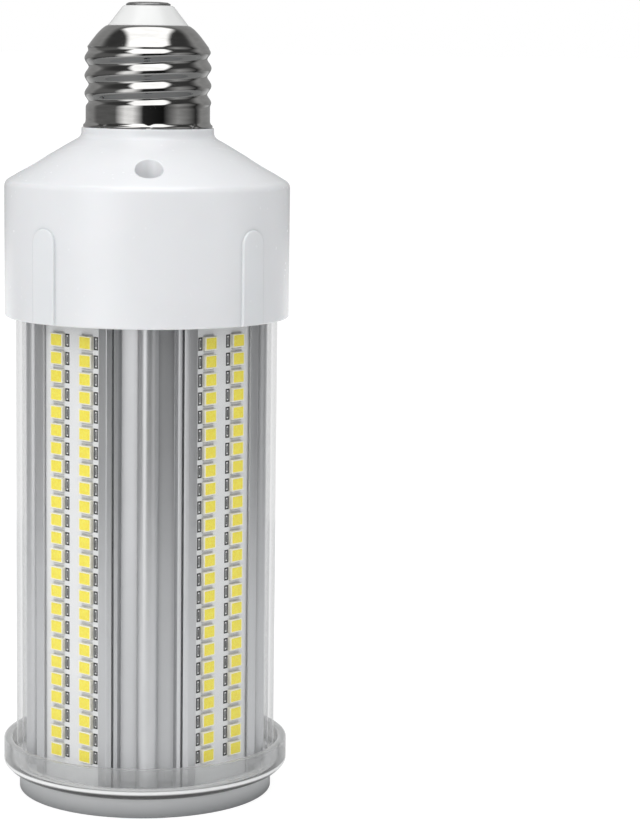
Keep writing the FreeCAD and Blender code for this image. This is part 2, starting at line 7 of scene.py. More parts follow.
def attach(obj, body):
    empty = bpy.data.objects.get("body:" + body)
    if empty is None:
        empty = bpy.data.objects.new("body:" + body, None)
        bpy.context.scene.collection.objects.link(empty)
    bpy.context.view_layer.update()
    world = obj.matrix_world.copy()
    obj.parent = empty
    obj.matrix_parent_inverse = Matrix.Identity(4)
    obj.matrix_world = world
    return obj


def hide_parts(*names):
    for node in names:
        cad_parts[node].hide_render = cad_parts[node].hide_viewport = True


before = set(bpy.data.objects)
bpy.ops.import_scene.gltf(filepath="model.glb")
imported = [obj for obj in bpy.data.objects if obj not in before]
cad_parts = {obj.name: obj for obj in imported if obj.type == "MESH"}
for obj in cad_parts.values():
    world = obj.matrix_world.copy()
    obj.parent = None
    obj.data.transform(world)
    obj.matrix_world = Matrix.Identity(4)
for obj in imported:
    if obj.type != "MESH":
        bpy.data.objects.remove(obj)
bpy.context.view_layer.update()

mm = 0.001
scene = bpy.context.scene
scene.view_settings.view_transform = "Standard"


# Shapes from outlines


def roundCorners(points, closed=True, steps=5):
    # points: (x, y, radius); each corner with a radius becomes a short arc.
    out = []
    count = len(points)
    for i, (x, y, radius) in enumerate(points):
        if radius <= 0 or (not closed and i in (0, count - 1)):
            out.append((x, y))
            continue
        here = Vector((x, y))
        before = Vector(points[i - 1][:2]) - here
        after = Vector(points[(i + 1) % count][:2]) - here
        half = before.angle(after) / 2
        if half > math.radians(89.5):
            out.append((x, y))
            continue
        cut = min(radius / math.tan(half), before.length * 0.48, after.length * 0.48)
        true = cut * math.tan(half)
        centre = here + (before.normalized() + after.normalized()).normalized() * (true / math.sin(half))
        first = here + before.normalized() * cut - centre
        last = here + after.normalized() * cut - centre
        sweep = math.atan2(first.x * last.y - first.y * last.x, first.dot(last))
        for k in range(steps + 1):
            a = sweep * k / steps
            out.append((centre.x + first.x * math.cos(a) - first.y * math.sin(a),
                        centre.y + first.x * math.sin(a) + first.y * math.cos(a)))
    return out


def linkPiece(name, data):
    piece = bpy.data.objects.new(name, data)
    scene.collection.objects.link(piece)
    return piece


def smoothPiece(bm, mesh, sharp):
    # A piece with its faces outwards, smooth but for the creases over an angle.
    bmesh.ops.recalc_face_normals(bm, faces=bm.faces)
    for face in bm.faces:
        face.smooth = True
    for edge in bm.edges:
        edge.smooth = len(edge.link_faces) == 2 and edge.calc_face_angle(0) < math.radians(sharp)
    bm.to_mesh(mesh)
    bm.free()
    return linkPiece(mesh.name, mesh)


def finishMesh(name, verts, faces, sharp=32.0):
    # A piece from points in millimetres, with doubles merged.
    mesh = bpy.data.meshes.new(name)
    mesh.from_pydata([(x * mm, y * mm, z * mm) for x, y, z in verts], [], faces)
    bm = bmesh.new()
    bm.from_mesh(mesh)
    bmesh.ops.remove_doubles(bm, verts=bm.verts, dist=1e-7)
    bmesh.ops.dissolve_degenerate(bm, edges=bm.edges, dist=1e-8)
    return smoothPiece(bm, mesh, sharp)


def addPoint(verts, point):
    verts.append(point)
    return len(verts) - 1


def addTurned(verts, turn, x, y, z):
    # Adds a point that is turned about the axis.
    c, s = math.cos(turn), math.sin(turn)
    return addPoint(verts, (x * c - y * s, x * s + y * c, z))


def addCircle(verts, radius, z, count, first=0.0):
    # Adds a circle of points from its first angle on, and gives their numbers.
    turns = [first + 2 * math.pi * i / count for i in range(count)]
    return [addPoint(verts, (radius * math.cos(a), radius * math.sin(a), z)) for a in turns]


def bridge(faces, first, second):
    # Quads between two closed loops of vertex numbers.
    count = len(first)
    for i in range(count):
        j = (i + 1) % count
        faces.append((first[i], first[j], second[j], second[i]))


def joinRows(faces, rows):
    # Quads between each closed row and the next.
    for first, second in zip(rows, rows[1:]):
        bridge(faces, first, second)


def stack(faces, rows):
    # A closed form: rows joined to each other, with both ends filled.
    joinRows(faces, rows)
    faces.append(tuple(rows[0][::-1]))
    faces.append(tuple(rows[-1]))


def lathe(outline, segments):
    # Points and faces of a closed outline (r, z) turned round the axis.
    verts, faces = [], []
    half = math.pi / segments
    rows = [addCircle(verts, r, z, segments, half) for r, z in outline]
    joinRows(faces, rows + rows[:1])
    return verts, faces


def holedFace(verts, faces, sizes, heightAt, loops):
    # A turned face with four round holes; loops carry on from each hole's edge, given as
    # functions of the edge point's height that return (hole radius, height).
    rIn, rOut, circle, edge = sizes["rIn"], sizes["rOut"], sizes["circle"], sizes["edge"]
    arc, side, inner, rings = sizes["arc"], sizes["side"], sizes["inner"], sizes["rings"]
    quarter = math.pi / 4
    rim = [(-quarter + 2 * quarter * i / arc, rOut) for i in range(arc)]
    rim += [(quarter, rOut + (rIn - rOut) * i / side) for i in range(side)]
    rim += [(quarter - 2 * quarter * i / inner, rIn) for i in range(inner)]
    rim += [(-quarter, rIn + (rOut - rIn) * i / side) for i in range(side)]
    ends = []
    for sector in range(4):
        turn = sector * math.pi / 2
        ways, rows = [], []
        for phi, r in rim:
            bx, by = r * math.cos(phi), r * math.sin(phi)
            length = math.hypot(bx - circle, by)
            ways.append(((bx - circle) / length, by / length, length))
        for j in range(rings + 1):
            share = (j / rings) ** 1.4
            row = []
            for wx, wy, length in ways:
                reach = edge + (length - edge) * share
                x, y = circle + wx * reach, wy * reach
                row.append(addTurned(verts, turn, x, y, heightAt(math.hypot(x, y))))
            rows.append(row)
        joinRows(faces, rows)
        last = rows[0]
        for loop in loops:
            row = []
            for wx, wy, _ in ways:
                top = heightAt(math.hypot(circle + wx * edge, wy * edge))
                radius, z = loop(top)
                row.append(addTurned(verts, turn, circle + wx * radius, wy * radius, z))
            bridge(faces, last, row)
            last = row
        ends.append(last)
    return ends


# Materials


def opaque(tone):
    return (*tone, 1.0)


def grey(tone):
    return (tone, tone, tone)


class Nodes:
    # The nodes of one tree, each added with its inputs by name, or by number after an underscore.

    def __init__(self, tree):
        self.nodes = tree.nodes
        self.links = tree.links

    def add(self, kind, values=None, **inputs):
        node = self.nodes.new(kind)
        for key, value in (values or {}).items():
            setattr(node, key, value)
        for key, value in inputs.items():
            self.feed(node, key, value)
        return node

    def feed(self, node, key, value):
        socket = node.inputs[int(key[1:])] if key[0] == "_" else node.inputs[key.replace("_", " ")]
        if isinstance(value, bpy.types.NodeSocket):
            self.links.new(value, socket)
        else:
            socket.default_value = value

    def maths(self, kind, first, second=0.0):
        return self.add("ShaderNodeMath", {"operation": kind}, _0=first, _1=second).outputs["Value"]


materials = {}


class Tree(Nodes):
    # The tree of a material, which goes into the table of materials by its name.

    def __init__(self, name):
        materials[name] = bpy.data.materials.new(name)
        materials[name].use_nodes = True
        super().__init__(materials[name].node_tree)
        self.surface = self.nodes["Principled BSDF"]
        self.coords = self.nodes.new("ShaderNodeTexCoord")

    def set(self, **inputs):
        for key, value in inputs.items():
            self.feed(self.surface, key, value)

    def fed(self, name):
        # What feeds one of the surface's inputs now.
        return self.surface.inputs[name].links[0].from_socket

    def show(self, shader):
        self.feed(self.nodes["Material Output"], "Surface", shader.outputs[0])

    def mix(self, factor, first, second, blend="MIX"):
        # The first colour where the factor is nought and the second where it is one.
        kind = {"data_type": "RGBA", "blend_type": blend}
        return self.add("ShaderNodeMix", kind, Factor=factor, _6=first, _7=second).outputs[2]

    def share(self, value, none, full, kind="LINEAR"):
        # Nought where the value is none and one where it is full.
        return self.add("ShaderNodeMapRange", {"interpolation_type": kind}, Value=value, From_Min=none,
                        From_Max=full).outputs["Result"]

    def between(self, fac, low, high):
        # A number between low and high by the factor.
        return self.add("ShaderNodeMapRange", Value=fac, To_Min=low, To_Max=high).outputs["Result"]

    def stretched(self, scale=(1, 1, 1)):
        # Object coordinates, stretched by a scale on each axis.
        place = self.coords.outputs["Object"]
        return self.add("ShaderNodeMapping", Vector=place, Scale=scale).outputs["Vector"]

    def noise(self, vector, scale, detail=3.0, rough=0.5):
        return self.add("ShaderNodeTexNoise", Vector=vector, Scale=scale, Detail=detail,
                        Roughness=rough).outputs["Fac"]

    def ramp(self, fac, stops):
        node = self.add("ShaderNodeValToRGB", Fac=fac)
        line = node.color_ramp
        while len(line.elements) < len(stops):
            line.elements.new(0.5)
        for element, (place, colour) in zip(line.elements, stops):
            element.position = place
            element.color = opaque(colour)
        return node.outputs["Color"]

    def tones(self, fac, look):
        return self.ramp(fac, [(0.3, look["dark"]), (0.7, look["pale"])])

    def heightMask(self, none, full):
        # A share from nought to one between two heights in millimetres.
        place = self.add("ShaderNodeSeparateXYZ", _0=self.coords.outputs["Object"])
        return self.share(place.outputs["Z"], none * mm, full * mm)

    def bump(self, height, strength, distance):
        node = self.add("ShaderNodeBump", Height=height, Strength=strength, Distance=distance)
        self.set(Normal=node.outputs["Normal"])


def mouldedPlastic(name, colour, darker, rough, grain=900.0, bump=0.04):
    # Injection-moulded plastic: a faint cloud of tone, fine texture and slight unevenness.
    tree = Tree(name)
    plain = tree.stretched()
    cloud = tree.noise(plain, 60.0)
    tree.set(Base_Color=tree.ramp(cloud, [(0.35, darker), (0.65, colour)]))
    fine = tree.noise(plain, grain, 2.0)
    tree.set(Roughness=tree.between(fine, rough - 0.04, rough + 0.06))
    tree.bump(fine, bump, 0.0002)
    return tree


def paintHollowShade(tree, look):
    # Painted shade in the narrow places: the base colour goes to a dark one where little light gets in.
    # painted shade: ambient occlusion darkens the colour in creases and corners
    hollowShade = tree.add("ShaderNodeAmbientOcclusion", {"samples": 6, "only_local": True},
                      Distance=look["hollowReach"] * mm)
    clear = tree.share(hollowShade.outputs["AO"], *look["hollowLight"])
    tree.set(Base_Color=tree.mix(clear, opaque(look["hollowShade"]), tree.fed("Base Color")))


def clearPlastic(name, look):
    # A clear wall: see-through head on, more of its own tone and gloss at a grazing angle.
    tree = Tree(name)
    facing = tree.add("ShaderNodeLayerWeight", Blend=0.5)
    steep = tree.maths("POWER", facing.outputs["Facing"], look["power"])
    path = tree.add("ShaderNodeLightPath")
    dim = tree.between(path.outputs["Is Camera Ray"], look["shade"], 1.0)
    alpha = tree.maths("MULTIPLY", tree.between(steep, look["seen"], look["edge"]), dim)
    haze = tree.noise(tree.stretched((1, 1, 0.2)), 140.0)
    darker = tuple(tone * 0.94 for tone in look["tint"])
    tree.set(Base_Color=tree.ramp(haze, [(0.3, darker), (0.7, look["tint"])]), Alpha=alpha, IOR=1.58,
             Roughness=tree.between(haze, look["rough"], look["rough"] + 0.03),
             Specular_IOR_Level=look["specular"])
    return tree


look = {"pale": (0.81, 0.815, 0.83), "dark": (0.79, 0.795, 0.81), "rough": 0.24,
        "hollowShade": (0.50, 0.51, 0.52), "hollowReach": 0.9, "hollowLight": (0.45, 0.93)}
tree = mouldedPlastic("housingPlastic", look["pale"], look["dark"], look["rough"])
tree.set(Subsurface_Weight=0.04, Subsurface_Scale=0.002, Coat_Weight=0.25, Coat_Roughness=0.12)
# painted shade darkens the housing's creases, such as the pads' edges and the screw holes' rims
paintHollowShade(tree, look)

# the cap is darker towards its foot, and has a painted shadow in a band under the ring's overhang;
# heights are in millimetres
look = {"pale": (0.60, 0.605, 0.61), "dark": (0.56, 0.565, 0.57), "rough": 0.42, "grain": 1400.0,
        "relief": 0.12, "foot": (0.29, 0.295, 0.30), "footFade": (0.2, 3.4), "ringShadow": grey(0.10),
        "ringShadowLow": (3.85, 4.1), "ringShadowHigh": (4.75, 4.5)}
tree = mouldedPlastic("capPlastic", look["pale"], look["dark"], look["rough"], look["grain"],
                      look["relief"])
side = tree.mix(tree.heightMask(*look["footFade"]), opaque(look["foot"]), tree.fed("Base Color"))
# painted shadow: a dark band just under the ring's overhang
ringShadow = tree.maths("MULTIPLY", tree.heightMask(*look["ringShadowLow"]), tree.heightMask(*look["ringShadowHigh"]))
tree.set(Base_Color=tree.mix(ringShadow, side, opaque(look["ringShadow"])))

look = {"tint": (0.42, 0.425, 0.435), "seen": 0.012, "edge": 0.85, "power": 4.2, "rough": 0.05,
        "specular": 0.3, "shade": 0.12}
clearPlastic("tubePlastic", look)

# the ring has a painted dark shade line and a painted white highlight line near its foot, where it is
# nearly solid
look = {"tint": (0.46, 0.465, 0.465), "seen": 0.24, "edge": 0.95, "power": 2.0, "rough": 0.07,
        "specular": 0.35, "shade": 0.12, "foot": 4.8, "top": 11.0, "solid": 0.7, "solidFade": (6.7, 6.4),
        "footShadeAndHighlight": [(0.12, grey(0.06)), (0.19, grey(0.95)), (0.26, grey(0.90)),
                  (0.31, (0.47, 0.475, 0.475))]}
tree = clearPlastic("ringPlastic", look)
# painted shade and painted highlight: a dark line and a white line in the base colour by height
tree.set(Base_Color=tree.ramp(tree.heightMask(look["foot"], look["top"]), look["footShadeAndHighlight"]))
solid = tree.maths("MULTIPLY", tree.heightMask(*look["solidFade"]), look["solid"])
tree.set(Alpha=tree.maths("MINIMUM", tree.maths("ADD", solid, tree.fed("Alpha")), 1.0))

# the plate is painted darker on the undersides of the thread's turns, a painted shade in place of their
# bright reflection
look = {"dark": (0.46, 0.455, 0.445), "pale": (0.56, 0.555, 0.545), "rough": (0.04, 0.10),
        "under": (0.17, 0.17, 0.167), "underSlope": (-0.45, -0.05), "relief": (0.03, 0.0002)}
tree = Tree("nickelPlate")
sheen = tree.noise(tree.stretched((1, 1, 6)), 220.0)
plate = tree.tones(sheen, look)
slope = tree.add("ShaderNodeSeparateXYZ", _0=tree.coords.outputs["Normal"]).outputs["Z"]
# painted shade: the base colour goes dark where the surface faces down
plate = tree.mix(tree.share(slope, *look["underSlope"]), opaque(look["under"]), plate)
tree.set(Base_Color=plate, Metallic=1.0, Roughness=tree.between(sheen, *look["rough"]))
tree.bump(sheen, *look["relief"])

look = {"dark": (0.60, 0.605, 0.615), "pale": (0.65, 0.655, 0.665), "metallic": 0.74,
        "rough": (0.26, 0.34), "relief": (0.025, 0.0001),
        "hollowShade": (0.10, 0.10, 0.105), "hollowReach": 2.5, "hollowLight": (0.40, 0.95)}
tree = Tree("extrudedAluminium")
lines = tree.noise(tree.stretched((1, 1, 0.012)), 2600.0, 4.0, 0.6)
blotch = tree.noise(tree.stretched((1, 1, 0.35)), 90.0)
tree.set(Base_Color=tree.tones(blotch, look), Metallic=look["metallic"],
         Roughness=tree.between(lines, *look["rough"]))
# painted shade darkens the heat sink's grooves and the corners beside the bosses
paintHollowShade(tree, look)
tree.bump(lines, *look["relief"])

# metals with one grain in their tone, gloss and relief
metals = {
    "contactMetal": {"dark": grey(0.29), "pale": (0.38, 0.38, 0.375), "metallic": 1.0, "grain": 700.0,
                     "detail": 5.0, "rough": (0.28, 0.44), "relief": (0.12, 0.0002)},
    "tinnedCopper": {"dark": (0.62, 0.62, 0.63), "pale": (0.76, 0.76, 0.77), "metallic": 0.55,
                     "grain": 1800.0, "rough": (0.35, 0.50)},
    "zincPlatedSteel": {"dark": (0.50, 0.50, 0.49), "pale": (0.66, 0.66, 0.65), "metallic": 1.0,
                        "grain": 900.0, "rough": (0.22, 0.40), "relief": (0.05, 0.0001)},
}
for name, look in metals.items():
    tree = Tree(name)
    cloud = tree.noise(tree.stretched(), look["grain"], look.get("detail", 3.0))
    tree.set(Base_Color=tree.tones(cloud, look), Metallic=look["metallic"],
             Roughness=tree.between(cloud, *look["rough"]))
    if "relief" in look:
        tree.bump(cloud, *look["relief"])

look = {"dark": (0.97, 0.80, 0.07), "pale": (1.0, 0.90, 0.11), "cloud": (0.94, 0.92, 0.86),
        "rough": (0.28, 0.40), "relief": (0.15, 0.0001)}
tree = Tree("phosphorGel")
speck = tree.noise(tree.stretched(), 2200.0, 2.0)
wide = tree.noise(tree.stretched(), 160.0)
gel = tree.tones(speck, look)
cloud = tree.ramp(wide, [(0.35, look["cloud"]), (0.65, grey(1.0))])
tree.set(Base_Color=tree.mix(0.5, gel, cloud, "MULTIPLY"), Roughness=tree.between(speck, *look["rough"]))
tree.bump(speck, *look["relief"])

# more moulded plastics: pale and dark tone, roughness, grain and relief
plastics = {
    "boardMask": ((0.85, 0.855, 0.86), (0.81, 0.815, 0.82), 0.42, 700.0, 0.05),
    "insulatorGlaze": ((0.79, 0.79, 0.78), (0.75, 0.75, 0.74), 0.20, 500.0, 0.03),
    "ledFramePlastic": ((0.94, 0.92, 0.80), (0.89, 0.86, 0.71), 0.35, 1500.0, 0.04),
    "silkscreenInk": ((0.030, 0.030, 0.032), (0.018, 0.018, 0.020), 0.5, 2600.0, 0.1),
}
for name, values in plastics.items():
    mouldedPlastic(name, *values)

# parts sealed in the housing keep their solids, each with its own finish
innerFinishes = {
    "driver_board": ((0.05, 0.20, 0.08), (0.03, 0.14, 0.05), 0.40),
    "divider_plate": ((0.80, 0.80, 0.77), (0.74, 0.74, 0.71), 0.50),
    "smoothing_capacitor": ((0.03, 0.04, 0.07), (0.02, 0.025, 0.05), 0.30),
    "film_capacitor": ((0.42, 0.08, 0.03), (0.34, 0.06, 0.02), 0.28),
    "transformer_core": ((0.07, 0.07, 0.075), (0.04, 0.04, 0.045), 0.60),
    "transformer_winding": ((0.75, 0.55, 0.06), (0.66, 0.47, 0.04), 0.32),
    "bridge_rectifier": (grey(0.03), grey(0.02), 0.50),
    "driver_chip": (grey(0.03), grey(0.02), 0.50),
    "fuse_resistor": ((0.36, 0.26, 0.16), (0.28, 0.20, 0.12), 0.55),
    "live_lead": ((0.50, 0.03, 0.02), (0.42, 0.02, 0.015), 0.40),
    "neutral_lead": ((0.80, 0.80, 0.78), (0.72, 0.72, 0.70), 0.40),
    "led_leads": ((0.80, 0.80, 0.78), (0.72, 0.72, 0.70), 0.40),
}


def coat(piece, material):
    piece.data.materials.clear()
    piece.data.materials.append(materials[material])


for node, values in innerFinishes.items():
    mouldedPlastic("finish_" + node, *values, grain=800.0, bump=0.06)
    coat(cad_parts[node], "finish_" + node)
for number in range(1, 5):
    coat(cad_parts["led_board_%d" % number], "boardMask")
print("materials ready")


def settle(piece, material, slot, *nodes):
    # Material, body and the nodes a piece stands for; the slot is not used.
    coat(piece, material)
    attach(piece, "root")
    if nodes:
        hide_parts(*nodes)


def turnedPiece(name, outline, segments, material, slot, *nodes):
    settle(finishMesh(name, *lathe(roundCorners(outline), segments)), material, slot, *nodes)


# Clear tube and ring

tube = {"outer": 27.4, "wall": 1.2, "foot": 6.0, "top": 112.0, "edge": 0.25, "segments": 192}
tubeBore = tube["outer"] - tube["wall"]
turnedPiece("coverTube", [
    (tubeBore, tube["foot"], tube["edge"]), (tube["outer"], tube["foot"], tube["edge"]),
    (tube["outer"], tube["top"], tube["edge"]), (tubeBore, tube["top"], tube["edge"]),
], tube["segments"], "tubePlastic", "clear_tube", "cover_tube")

ring = {"outer": 30.1, "wall": 1.7, "foot": 4.8, "seat": 6.0, "top": 11.0, "bore": 25.65, "slant": 1.1,
        "segments": 192}
ringInner = ring["outer"] - ring["wall"]
turnedPiece("endRing", [
    (ring["bore"], ring["foot"], 0.2),
    (ring["outer"] - ring["slant"], ring["foot"], 0.5),
    (ring["outer"], ring["foot"] + ring["slant"], 0.9),
    (ring["outer"], ring["top"], 0.45),
    (ringInner, ring["top"], 0.35),
    (ringInner, ring["seat"], 0.3),
    (ring["bore"], ring["seat"], 0.2),
], ring["segments"], "ringPlastic", "clear_ring", "end_ring")
print("tube and ring ready")

# Screw shell with its rolled thread

shell = {
    "foot": 140.2, "skirt": 12.9, "crest": 13.15, "root": 12.28, "shoulder": 12.5,
    "pitch": 3.629, "crestAt": 152.55, "sideTurn": -0.7, "fullness": 0.78,
    "threadFoot": 144.1, "threadTop": 157.0, "fadeIn": 1.5, "fadeOut": 1.7,
    "firstRow": 144.0, "lastRow": 156.6, "lastInnerRow": 156.4, "rowStep": 0.16, "segments": 180,
    "dents": 16, "dentDepth": 0.3, "sheet": 0.35, "innerFoot": (12.55, 1.6), "lip": 161.0,
    "lipSheet": (0.06, 0.12),
    # radius and height over the foot
    "rim": [(12.6, 0.0), (13.25, 0.0), (13.42, 0.1), (13.5, 0.3), (13.44, 0.52), (13.2, 0.72),
            (13.0, 0.95), (12.92, 1.25), (12.9, 1.7)],
    "dented": (0.05, 0.9),
    # radius and height
    "dome": [(12.55, 156.75), (12.25, 157.15), (11.85, 157.7), (11.4, 158.3), (10.9, 158.95),
             (10.3, 159.65), (9.65, 160.3), (9.2, 160.68), (8.8, 160.95), (8.5, 161.1)],
}


def held(share):
    return min(1.0, max(0.0, share))


def eased(share):
    return held(share) ** 2 * (3 - 2 * held(share))


def threadRadius(turn, z):
    # Rolled round thread: the radius over the turn and height, faded out at both ends.
    phase = (z - shell["crestAt"]) / shell["pitch"]
    phase -= (turn - math.radians(shell["sideTurn"])) / (2 * math.pi)
    wave = 0.5 + 0.5 * math.cos(2 * math.pi * phase)
    low = eased((z - shell["threadFoot"]) / shell["fadeIn"])
    high = eased((shell["threadTop"] - z) / shell["fadeOut"])
    threaded = shell["root"] + (shell["crest"] - shell["root"]) * wave ** shell["fullness"]
    return shell["skirt"] * (1 - low) + low * (threaded * high + shell["shoulder"] * (1 - high))


def buildShell():
    verts, faces, loops = [], [], []
    count = shell["segments"]
    turns = [2 * math.pi * i / count for i in range(count)]

    def loop(z, radiusAt):
        row = []
        for a in turns:
            r = radiusAt(a)
            row.append(addPoint(verts, (r * math.cos(a), r * math.sin(a), z)))
        loops.append(row)

    def dent(a):
        return shell["dentDepth"] * max(0.0, math.cos(a * shell["dents"] / 2)) ** 12

    low, high = shell["dented"]
    for radius, rise in shell["rim"]:
        loop(shell["foot"] + rise, lambda a: radius - (dent(a) if low < rise < high else 0.0))
    z = shell["firstRow"]
    while z < shell["lastRow"]:
        loop(z, lambda a: threadRadius(a, z))
        z += shell["rowStep"]
    for radius, z in shell["dome"]:
        loop(z, lambda a: radius)
    for radius, z in shell["dome"][::-1]:
        inward, down = shell["lipSheet"] if z > shell["lip"] else (shell["sheet"], shell["sheet"])
        loop(z - down, lambda a: radius - inward)
    z = shell["lastInnerRow"]
    while z > shell["firstRow"]:
        loop(z, lambda a: threadRadius(a, z) - shell["sheet"])
        z -= shell["rowStep"] * 2
    radius, rise = shell["innerFoot"]
    loop(shell["foot"] + rise, lambda a: radius)
    joinRows(faces, loops + loops[:1])
    return finishMesh("screwShell", verts, faces, 40)


settle(buildShell(), "nickelPlate", "nickel", "screw_shell")

insulator = {"bore": 0.72, "foot": 158.95, "radius": 8.3, "coneFoot": 161.25, "chamfer": 0.25,
             "coneTop": 5.35, "flat": 5.0, "top": 165.2, "segments": 128}
turnedPiece("baseInsulator", [
    (insulator["bore"], insulator["foot"], 0.0),
    (insulator["radius"], insulator["foot"], 0.2),
    (insulator["radius"], insulator["coneFoot"], 0.25),
    (insulator["radius"] - insulator["chamfer"], insulator["coneFoot"] + insulator["chamfer"], 0.2),
    (insulator["coneTop"], insulator["top"] - 0.2, 0.35),
    (insulator["flat"], insulator["top"], 0.2),
    (insulator["bore"], insulator["top"], 0.0),
], insulator["segments"], "insulatorGlaze", "white_insulator", "base_insulator")

# the outline's points are radius, height and rounding
contact = {"segments": 96, "outline": [(0.0, 165.2, 0.0), (4.65, 165.2, 0.12), (4.6, 165.55, 0.25),
                                       (4.0, 165.86, 0.3), (2.4, 165.98, 0.4), (0.0, 166.0, 0.0)]}
turnedPiece("centreContact", contact["outline"], contact["segments"], "contactMetal", "contact_metal",
            "centre_contact")
print("screw base ready")

# Driver housing

housing = {
    "skirtFoot": 101.0, "skirt": 29.7, "skirtBore": 27.9, "shoulder": 128.9, "slope": 9.5 / 15.95,
    "coneIn": 16.6, "coneOut": 27.9, "neckRadius": 13.75, "neckFoot": 138.3, "neckTop": 140.2,
    "roof": 127.88, "chamber": 17.5, "chamberTop": 134.07, "neckBore": 9.4, "spigot": 11.6,
    "spigotTop": 149.2, "holeCircle": 23.2, "headBore": 2.8, "lip": 0.3, "seat": 116.0, "screwHole": 1.6,
    "seatRound": 0.15, "column": 3.9, "columnFoot": 112.0, "columnRound": 0.2, "roofEdge": 27.5,
}
pad = {
    "half": 3.1, "tall": 19.4, "lift": 0.12, "footShare": 0.4, "arc": 20,
    # how far each row lies in from the pad's edge, and its distance from the axis
    "rows": [(-0.12, 28.4), (-0.12, 29.35), (0.0, 29.62), (0.06, 29.86), (0.16, 30.02), (0.32, 30.08),
             (0.5, 30.1)],
}
sector = {"arc": 36, "side": 10, "inner": 24}  # points on the edges of a quarter with a screw hole


def coneHeight(r):
    return housing["shoulder"] + (housing["skirt"] - r) * housing["slope"]


def roundedLip(bore, lip, steps, way):
    # Loops of a hole's rounded edge, from its face into the bore, which lies above (1) or below (-1).
    def step(a):
        return lambda face: (bore + lip * (1 - math.sin(a)), face + way * lip * (1 - math.cos(a)))
    return [step(math.pi / 2 * i / steps) for i in range(1, steps + 1)]


def fixedLoops(points):
    return [lambda face, point=point: point for point in points]


def turnedStrip(verts, faces, outline, perQuarter):
    # A turned strip that meets the holed faces at the same points.
    joinRows(faces, [addCircle(verts, r, z, perQuarter * 4, -math.pi / 4) for r, z in outline])


def addPad(verts, faces, turn):
    # A raised pad over a strip, flat-faced with rounded edges.
    foot = housing["skirtFoot"] + pad["lift"]
    spring = foot + pad["tall"] - pad["half"]
    rows = []
    for inset, x in pad["rows"]:
        w = pad["half"] - inset
        low = foot + max(0.0, inset) * pad["footShare"]
        line = [(-w, low), (w, low)]
        for i in range(pad["arc"] + 1):
            a = math.pi * i / pad["arc"]
            line.append((w * math.cos(a), spring + w * math.sin(a)))
        rows.append([addTurned(verts, turn, x, y, z) for y, z in line])
    stack(faces, rows)


def buildHousing():
    h = housing
    verts, faces = [], []
    points = [
        (h["headBore"], h["seat"] + h["seatRound"]), (h["headBore"] - h["seatRound"], h["seat"]),
        (h["screwHole"], h["seat"]), (h["screwHole"], h["columnFoot"]),
        (h["column"] - h["columnRound"], h["columnFoot"]),
        (h["column"], h["columnFoot"] + h["columnRound"]),
    ]
    loops = roundedLip(h["headBore"], h["lip"], 5, -1) + fixedLoops(points)
    outer = dict(sector, rIn=h["coneIn"], rOut=h["coneOut"], circle=h["holeCircle"],
                 edge=h["headBore"] + h["lip"], rings=9)
    under = dict(sector, rIn=h["chamber"], rOut=h["roofEdge"], circle=h["holeCircle"],
                 edge=h["column"], rings=5)
    ends = holedFace(verts, faces, outer, coneHeight, loops)
    starts = holedFace(verts, faces, under, lambda r: h["roof"], [])
    for end, start in zip(ends, starts):
        bridge(faces, end, start)

    skirtLine = roundCorners([
        (h["coneOut"], coneHeight(h["coneOut"]), 0), (h["skirt"], h["shoulder"], 2.2),
        (h["skirt"], h["skirtFoot"], 0.45), (h["skirtBore"], h["skirtFoot"], 0.3),
        (h["skirtBore"], h["roof"], 0.6), (h["roofEdge"], h["roof"], 0),
    ], closed=False, steps=8)
    turnedStrip(verts, faces, skirtLine, sector["arc"])
    neckLine = roundCorners([
        (h["coneIn"], coneHeight(h["coneIn"]), 0), (h["neckRadius"], h["neckFoot"], 3.4),
        (h["neckRadius"], h["neckTop"], 0.25), (h["spigot"], h["neckTop"], 0),
        (h["spigot"], h["spigotTop"], 0.2), (h["neckBore"], h["spigotTop"], 0.2),
        (h["neckBore"], h["chamberTop"], 0), (h["chamber"], h["chamberTop"], 0.3),
        (h["chamber"], h["roof"], 0),
    ], closed=False, steps=6)
    turnedStrip(verts, faces, neckLine, sector["inner"])
    for number in range(4):
        addPad(verts, faces, math.pi / 4 + number * math.pi / 2)
    return finishMesh("driverHousing", verts, faces, 38)


settle(buildHousing(), "housingPlastic", "white_housing", "driver_housing")
print("housing ready")

# End cap

cap = {"radius": 26.8, "top": 4.8, "faceIn": 14.0, "footOut": 26.35, "topOut": 26.4, "middle": 6.0,
       "recess": 2.4, "bore": 2.8, "lip": 0.25, "hole": 1.6, "circle": 23.2}


def buildCap():
    verts, faces = [], []
    points = [(cap["bore"], cap["recess"]), (cap["hole"], cap["recess"]), (cap["hole"], cap["top"])]
    loops = roundedLip(cap["bore"], cap["lip"], 3, 1) + fixedLoops(points)
    lower = dict(sector, side=8, rIn=cap["faceIn"], rOut=cap["footOut"], circle=cap["circle"],
                 edge=cap["bore"] + cap["lip"], rings=5)
    upper = dict(lower, rOut=cap["topOut"], edge=cap["hole"])
    ends = holedFace(verts, faces, lower, lambda r: 0.0, loops)
    tops = holedFace(verts, faces, upper, lambda r: cap["top"], [])
    for end, top in zip(ends, tops):
        bridge(faces, end, top)
    side = [(cap["footOut"], 0.0, 0), (cap["radius"], 0.0, 0.9), (cap["radius"], cap["top"], 0.35),
            (cap["topOut"], cap["top"], 0)]
    turnedStrip(verts, faces, roundCorners(side, closed=False, steps=8), sector["arc"])
    for z in (0.0, cap["top"]):
        turnedStrip(verts, faces, [(cap["faceIn"], z), (cap["middle"], z), (0.0, z)], sector["inner"])
    return finishMesh("endCap", verts, faces, 38)


settle(buildCap(), "capPlastic", "grey_cap", "end_cap")
print("cap ready")

# Heat sink

